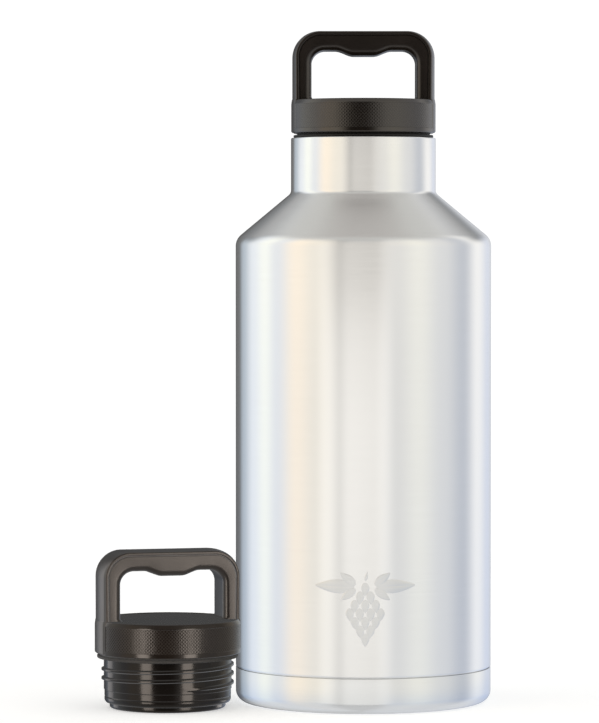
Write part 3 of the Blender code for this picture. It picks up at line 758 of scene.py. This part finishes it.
def loop_section(outer, inner, width, edge, crown):
    """Section of the loop: rounded inside edge, flat face, fine groove and a raised outer rim."""
    thickness = (Vector(outer) - Vector(inner)).length
    along = (Vector(outer) - Vector(inner)).normalized()
    half = width / 2
    wide = edge > 1.0 * MM       # the straps have no groove and no raised rim
    groove = FACE_GROOVE if wide else 0.0
    face = half - (FACE_SUNK if wide else 0.0)
    side = []
    for step in range(EDGE_STEPS + 1):
        angle = math.pi / 2 * step / EDGE_STEPS
        side.append((edge - edge * math.cos(angle), face - edge + edge * math.sin(angle)))
    corner = thickness - crown
    flat_end = corner - RIM_BAND
    side += [(flat_end - 0.35 * MM, face), (flat_end, face), (flat_end + 0.2 * MM, face - groove)]
    side += [(flat_end + 0.5 * MM, face - groove), (flat_end + 0.7 * MM, half - 0.05 * MM)]
    side += [(flat_end + 0.82 * MM, half)]
    for step in range(RIM_STEPS + 1):
        angle = math.pi / 2 * step / RIM_STEPS
        side.append((corner - RIM_ROUND + RIM_ROUND * math.sin(angle),
                     half - RIM_ROUND + RIM_ROUND * math.cos(angle)))
    for share in CROWN_SHARES:
        side.append((thickness - crown * share ** 2, half * share))
    ring = [(0.0, 0.0)] + side + [(thickness, 0.0)]
    ring += [(distance, -y) for distance, y in side[::-1]]
    section = []
    for distance, y in ring:
        spot = Vector(inner) + along * distance
        section.append(Vector((spot.x, y, spot.y)))
    return section


def build_loop(prefix, body, place):
    """Carry loop: the sections of one half, then the same mirrored."""
    half = loop_stations()
    sections = [loop_section(*station) for station in half]
    for station in half[::-1]:
        mirrored = [Vector((-point.x, point.y, point.z)) for point in loop_section(*station)]
        sections.append(mirrored)
    mesh_data = bmesh.new()
    rings = [[mesh_data.verts.new(point) for point in section] for section in sections]
    for here, there in zip(rings, rings[1:]):
        for row in range(len(here)):
            after = (row + 1) % len(here)
            mesh_data.faces.new((here[row], here[after], there[after], there[row]))
    mesh_data.faces.new(rings[0])
    mesh_data.faces.new(rings[-1])
    node = f"{prefix}_loop"
    material = PLASTICS[prefix]["loop"]
    finished(f"{node}_skin", mesh_data, body, [node], material, place, sharp=32.0)


# Heights of the plug and the gasket are from the cap's lower edge
PLUG_BORE_R = 26.7 * MM
PLUG_TOP_R = 28.7 * MM
PLUG_TOP_Z = 12.9 * MM
THREAD_TOP_Z = -0.6 * MM
NOSE_R = 29.4 * MM           # plain end of the plug under its thread
NOSE_TOP_Z = -16.95 * MM
NOSE_GROOVE_Z = -20.0 * MM
NOSE_LOW_Z = -22.9 * MM
SEAT_H = 4.7 * MM            # the disc's seat in the plug, from the disc's lower face
DISC_H = 4.4 * MM
DISC_FLOOR = 2.2 * MM
DISC_LIP = 2.0 * MM
DISH_R = 17.0 * MM
DISH_H = 0.5 * MM
GASKET_IN_R = 30.1 * MM
GASKET_STEP_R = 31.2 * MM
GASKET_STEP_Z = -0.85 * MM
GASKET_TOP_Z = -0.1 * MM
GASKET_LIFT = 0.05 * MM      # gap between the gasket and the bottle's rim


def build_plug(prefix, body, place):
    """Threaded plug and the disc that closes its lower end."""
    seat = DISC_R + GAP
    low = -PLUG_DEPTH
    above = [(ROOT_R, THREAD_TOP_Z), (PLUG_TOP_R, 0.0), (PLUG_TOP_R, PLUG_TOP_Z)]
    above += [(PLUG_BORE_R, PLUG_TOP_Z), (PLUG_BORE_R, low + SEAT_H), (seat, low + SEAT_H)]
    above += [(seat, NOSE_LOW_Z)]
    below = [(NOSE_R - 1.1 * MM, NOSE_LOW_Z), (NOSE_R - 0.75 * MM, NOSE_LOW_Z + 0.12 * MM)]
    below += [(NOSE_R - 0.2 * MM, NOSE_LOW_Z + 0.75 * MM), (NOSE_R, NOSE_LOW_Z + 1.4 * MM)]
    for inward, rise in ((0.0, -0.35), (0.12, -0.25), (0.3, 0.0), (0.12, 0.25), (0.0, 0.35)):
        below.append((NOSE_R - inward * MM, NOSE_GROOVE_Z + rise * MM))
    below += [(NOSE_R, NOSE_TOP_Z)]
    mesh_data = thread_mesh(above + below, MALE_FORM, MALE_TURNS, *MALE_ENDS, True)
    node = f"{prefix}_plug"
    material = PLASTICS[prefix]["plug"]
    finished(f"{node}_skin", mesh_data, body, [node], material, place, sharp=32.0)

    lip = DISC_R - DISC_LIP
    high = low + DISC_H
    floor = low + DISC_FLOOR
    disc = [(0.0, low + DISH_H, 0.0), (DISH_R, low + DISH_H, 0.5 * MM)]
    disc += [(DISH_R + 1.0 * MM, low, 0.4 * MM), (DISC_R, low, 1.2 * MM), (DISC_R, high, 0.1 * MM)]
    disc += [(lip, high, 0.1 * MM), (lip, floor, 0.1 * MM), (0.0, floor, 0.0)]
    node = f"{prefix}_plug_base"
    finished(f"{node}_skin", revolve(softened(disc, 5), 144), body, [node], material, place)


def build_gasket(prefix, body, place):
    """Ring between the cap and the bottle's rim."""
    low = RIM_Z + GASKET_LIFT - LID_Z
    ring = [(GASKET_IN_R, low, 0.2 * MM), (GASKET_R, low, 0.45 * MM)]
    ring += [(GASKET_R, GASKET_STEP_Z, 0.3 * MM), (GASKET_STEP_R, GASKET_STEP_Z, 0.05 * MM)]
    ring += [(GASKET_STEP_R, GASKET_TOP_Z, 0.05 * MM), (GASKET_IN_R, GASKET_TOP_Z, 0.1 * MM)]
    node = f"{prefix}_gasket"
    finished(f"{node}_skin", revolve(softened(ring, 4), 160), body, [node], rubber, place)


def build_lid(prefix, body, place, seal_body):
    """All the outer pieces of one lid."""
    build_cap(prefix, body, place)
    build_loop(prefix, body, place)
    build_plug(prefix, body, place)
    build_gasket(prefix, seal_body, place)


# ---------------------------------------------------------------- light, camera

FRONT_RISE = (0.50, 0.85)    # heights on the unit sphere between which the front ceiling takes over
BACK_RISE = (0.12, 0.45)     # the same for the back ceiling
BACK_START = (0.35, 0.75)    # Y on the unit sphere between which the back half takes over
CEILING_FRONT = (
    (0.35, (0.82, 0.82, 0.82)),
    (0.62, (0.80, 0.80, 0.79)),
    (0.86, (0.66, 0.66, 0.64)),
    (1.00, (0.56, 0.54, 0.52)),
)
CEILING_BACK = (
    (0.35, (0.26, 0.27, 0.28)),
    (0.62, (0.50, 0.50, 0.50)),
    (0.86, (0.66, 0.66, 0.64)),
    (1.00, (0.56, 0.54, 0.52)),
)
TABLE_RISE = (-0.25, -0.60)  # heights between which the white table takes over
TABLE_COLOUR = (0.86, 0.86, 0.86)
TABLE_SHARE = 0.8            # how far the table covers the panels' reflections
LOW_DEPTH = -0.22            # height on the unit sphere by which the lower half is fully dimmed
LOW_TINT = (0.75, 0.82, 0.96)  # the lower half is multiplied by this
# (azimuth in degrees from the camera's side, colour)
WORLD_BANDS = (
    (-180.0, (0.10, 0.10, 0.10)),
    (-152.0, (0.19, 0.19, 0.19)),
    (-138.0, (0.57, 0.64, 0.71)),
    (-118.0, (1.03, 1.07, 1.11)),
    (-101.0, (1.22, 1.24, 1.15)),
    (-85.0, (1.00, 1.02, 1.04)),
    (-64.0, (1.26, 1.12, 0.93)),
    (-44.0, (1.10, 1.03, 0.90)),
    (-20.0, (0.06, 0.055, 0.05)),
    (10.0, (0.06, 0.055, 0.05)),
    (30.0, (0.95, 0.93, 0.88)),
    (50.0, (1.08, 1.06, 0.97)),
    (76.0, (0.89, 0.89, 0.88)),
    (101.0, (0.67, 0.695, 0.745)),
    (124.0, (1.13, 1.12, 1.10)),
    (150.0, (0.81, 0.85, 0.95)),
    (166.0, (0.70, 0.72, 0.76)),
    (180.0, (0.35, 0.36, 0.38)),
)
SEEN_WHITE = 1.05            # brightness of the background that the camera sees


def build_world():
    """White studio: panels all round, with a darker ceiling; the background itself is white."""
    world = bpy.data.worlds.new("studio")
    bpy.context.scene.world = world
    world.use_nodes = True
    world.node_tree.nodes.clear()
    n = Tree(world.node_tree)
    x, y, z = n.split(n.add("ShaderNodeTexCoord").outputs["Generated"])
    angle = n.math("ARCTAN2", x, n.math("MULTIPLY", y, -1.0))
    bands = n.ramp(n.spread(angle, -math.pi, math.pi),
                   [((degrees + 180.0) / 360.0, colour) for degrees, colour in WORLD_BANDS])
    halves = []
    for rise, stops in ((FRONT_RISE, CEILING_FRONT), (BACK_RISE, CEILING_BACK)):
        halves.append(n.blend(n.spread(z, *rise, way="SMOOTHSTEP"), bands, n.ramp(z, stops)))
    room = n.blend(n.spread(y, *BACK_START, way="SMOOTHSTEP"), *halves)
    sunk = n.blend(n.spread(z, 0.0, LOW_DEPTH), room, LOW_TINT, "MULTIPLY")
    table = n.blend(n.spread(z, *TABLE_RISE, 0.0, TABLE_SHARE), sunk, TABLE_COLOUR)
    lit = n.add("ShaderNodeBackground")
    n.join(table, lit.inputs["Color"])
    seen = n.add("ShaderNodeBackground")
    n.feed(seen.inputs["Color"], (1.0, 1.0, 1.0))
    n.feed(seen.inputs["Strength"], SEEN_WHITE)
    choose = n.add("ShaderNodeMixShader")
    n.join(n.add("ShaderNodeLightPath").outputs["Is Camera Ray"], choose.inputs["Fac"])
    n.join(lit.outputs[0], choose.inputs[1])
    n.join(seen.outputs[0], choose.inputs[2])
    n.join(choose.outputs[0], n.add("ShaderNodeOutputWorld").inputs["Surface"])


SPARE_PANEL = (0.20, 0.6)    # width and height
SPARE_PANEL_Z = 0.15         # the panels reach below the table, as the lid is looked down on
SPARE_PANEL_AWAY = 0.6       # distance from the lid's axis
SPARE_PANEL_TONE = (1.0, 0.93, 0.88)
SPARE_PANELS = ((-36.0, 8.0), (37.0, 8.0), (-124.0, 1.5), (126.0, 3.0))  # (azimuth, brightness)
FILL_GAIN = 1.04
FILL_Y = 0.5                 # how far the panel stands in front of the bottle's axis
FILL_SPREAD = (-50.0, 36.0)  # its edges, as azimuths in degrees
FILL_HEIGHTS = (-0.2, 0.6)
# The panel's brightness from its left edge to its right edge, and colour from its foot to its top
FILL_ACROSS = (
    (0.14, (0.0, 0.0, 0.0)),
    (0.40, (0.80, 0.80, 0.80)),
    (0.50, (1.0, 1.0, 1.0)),
    (0.72, (0.95, 0.95, 0.95)),
    (0.90, (0.0, 0.0, 0.0)),
)
FILL_UPWARD = (
    (0.00, (0.84, 0.83, 0.81)),
    (0.20, (0.92, 0.91, 0.88)),
    (0.465, (1.06, 1.04, 1.00)),
    (0.525, (0.44, 0.42, 0.39)),
    (0.60, (0.74, 0.72, 0.68)),
    (0.75, (0.68, 0.66, 0.63)),
    (1.00, (0.56, 0.55, 0.53)),
)


def area_light(name, place, target, size, energy, colour=(1.0, 1.0, 1.0)):
    """Rectangular lamp that looks at the target; the camera doesn't see it."""
    light = bpy.data.lights.new(name, "AREA")
    light.shape = "RECTANGLE"
    light.size, light.size_y = size
    light.energy = energy
    light.color = colour
    lamp = bpy.data.objects.new(name, light)
    bpy.context.collection.objects.link(lamp)
    lamp.location = place
    lamp.rotation_euler = (Vector(target) - Vector(place)).to_track_quat("-Z", "Y").to_euler()
    lamp.visible_camera = False
    return lamp


def link_to(lamp, pieces):
    """Let only these pieces receive the lamp."""
    receivers = bpy.data.collections.new(f"{lamp.name}_receivers")
    for piece in pieces:
        receivers.objects.link(piece)
    lamp.light_linking.receiver_collection = receivers


def steel_fill():
    """Soft front panel that only the steel sees, so that the plastic keeps its dark front."""
    left, right = (FILL_Y * math.tan(math.radians(angle)) for angle in FILL_SPREAD)
    low, high = FILL_HEIGHTS
    middle = ((left + right) / 2, -FILL_Y, (low + high) / 2)
    size = (right - left, high - low)
    energy = FILL_GAIN * math.pi * size[0] * size[1]
    lamp = area_light("front_fill", middle, (middle[0], 0.0, middle[2]), size, energy)
    lamp.data.use_nodes = True
    n = Tree(lamp.data.node_tree)
    x, y, _ = n.split(n.add("ShaderNodeNewGeometry").outputs["Parametric"])
    colour = n.blend(1.0, n.ramp(x, FILL_ACROSS), n.ramp(y, FILL_UPWARD), "MULTIPLY")
    n.join(colour, n.tree.nodes["Emission"].inputs["Color"])
    link_to(lamp, steel_pieces)


def spare_panels():
    """Upright panels round the second lid, which only it sees; they draw its bright stripes."""
    width, height = SPARE_PANEL
    for index, (degrees, gain) in enumerate(SPARE_PANELS):
        angle = math.radians(degrees)
        place = (SPARE_AXIS.x + SPARE_PANEL_AWAY * math.sin(angle),
                 SPARE_AXIS.y - SPARE_PANEL_AWAY * math.cos(angle), SPARE_PANEL_Z)
        target = (SPARE_AXIS.x, SPARE_AXIS.y, SPARE_PANEL_Z)
        energy = gain * math.pi * width * height
        name = f"spare_panel_{index}"
        lamp = area_light(name, place, target, SPARE_PANEL, energy, SPARE_PANEL_TONE)
        link_to(lamp, spare_pieces)


FLOOR_GLOW = (0.27, 0.45)    # the floor's own light, for the pieces and for the camera
FLOOR_R = 1.2
FLOOR_DROP = 0.0001          # gap under the bottle
FLOOR_GRAIN = 900.0
FLOOR_FADE = (0.35, 1.1)     # radii between which the paper turns into the white background


def build_stage():
    """Pale floor that fades into the white background, and the lights."""
    floor_data = bmesh.new()
    bmesh.ops.create_circle(floor_data, cap_ends=True, radius=FLOOR_R, segments=96)
    mesh = bpy.data.meshes.new("floor")
    floor_data.to_mesh(mesh)
    floor_data.free()
    floor = bpy.data.objects.new("floor", mesh)
    bpy.context.collection.objects.link(floor)
    floor.location.z = cad_low.z - FLOOR_DROP
    n = Nodes("floor_paper")
    place = n.place()
    grain = n.noise(place, FLOOR_GRAIN, 2.0)
    n.join(n.blend(grain, (0.90, 0.90, 0.90), (0.93, 0.93, 0.93)), n.shader.inputs["Base Color"])
    n.shader.inputs["Roughness"].default_value = 0.8
    n.shader.inputs["Specular IOR Level"].default_value = 0.1
    n.shader.inputs["Emission Color"].default_value = (1.0, 1.0, 1.0, 1.0)
    ray = n.add("ShaderNodeLightPath")
    glow = n.spread(ray.outputs["Is Camera Ray"], 0.0, 1.0, *FLOOR_GLOW)
    n.join(glow, n.shader.inputs["Emission Strength"])
    length = n.add("ShaderNodeVectorMath", operation="LENGTH")
    n.join(place, length.inputs[0])
    fade = n.spread(length.outputs["Value"], *FLOOR_FADE, way="SMOOTHSTEP")
    clear = n.add("ShaderNodeBsdfTransparent")
    mix = n.add("ShaderNodeMixShader")
    n.join(fade, mix.inputs["Fac"])
    n.join(n.shader.outputs[0], mix.inputs[1])
    n.join(clear.outputs[0], mix.inputs[2])
    n.join(mix.outputs[0], n.tree.nodes["Material Output"].inputs["Surface"])
    mesh.materials.append(n.material)
    floor.visible_glossy = False
    floor.visible_shadow = False
    steel_fill()
    spare_panels()


CAMERA_PLACE = (-0.030, -1.9, 0.217)
CAMERA_DIP = 1.722           # degrees below level
CAMERA_LENS = 201.2


def build_camera():
    """Long lens slightly above the bottle's middle."""
    camera_data = bpy.data.cameras.new("camera")
    camera_data.lens = CAMERA_LENS
    camera_data.sensor_width = 36.0
    camera_data.clip_start = 0.05
    camera_data.clip_end = 100.0
    camera = bpy.data.objects.new("camera", camera_data)
    bpy.context.collection.objects.link(camera)
    camera.location = CAMERA_PLACE
    camera.rotation_euler = (math.radians(90.0 - CAMERA_DIP), 0.0, 0.0)
    bpy.context.scene.camera = camera


# ----------------------------------------------------------------------- build

def repaint(node, material):
    """Give a CAD node that is shown as it is its own material."""
    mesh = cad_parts[node].data
    mesh.materials.clear()
    mesh.materials.append(material)


build_bottle()
build_emblem()
build_liner()
fitted_place = Matrix.Translation((0.0, 0.0, LID_Z))
spare_place = Matrix.Translation((SPARE_AXIS.x, SPARE_AXIS.y, PLUG_DEPTH))
spare_place = spare_place @ Matrix.Rotation(SPARE_TURN, 4, "Z")
build_lid("lid", "lid", fitted_place, "lid_seal")
build_lid("spare", "spare_lid", spare_place, "spare_lid")
foam = speckled("foam_core", (0.72, 0.68, 0.55), (0.86, 0.83, 0.72), 900.0, 0.95)
foil = speckled("wrap_foil", (0.78, 0.78, 0.80), (0.92, 0.92, 0.93), 120.0, 0.25, 1.0, 0.0001)
pellet = speckled("getter_pellet", (0.10, 0.10, 0.105), (0.22, 0.22, 0.23), 3000.0, 0.8)
seal_glass = speckled("seal_glass", (0.12, 0.15, 0.17), (0.2, 0.24, 0.26), 700.0, 0.15)
clip_steel = speckled("clip_steel", (0.5, 0.5, 0.5), (0.62, 0.62, 0.62), 800.0, 0.3, 1.0, 0.00001)
for node in ("lid_foam", "spare_foam"):
    repaint(node, foam)
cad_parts["spare_foam"].visible_glossy = False
repaint("foil_wrap", foil)
repaint("getter", pellet)
repaint("port_seal", seal_glass)
repaint("getter_clip", clip_steel)
build_world()
build_stage()
build_camera()
bpy.context.scene.view_settings.view_transform = "Standard"
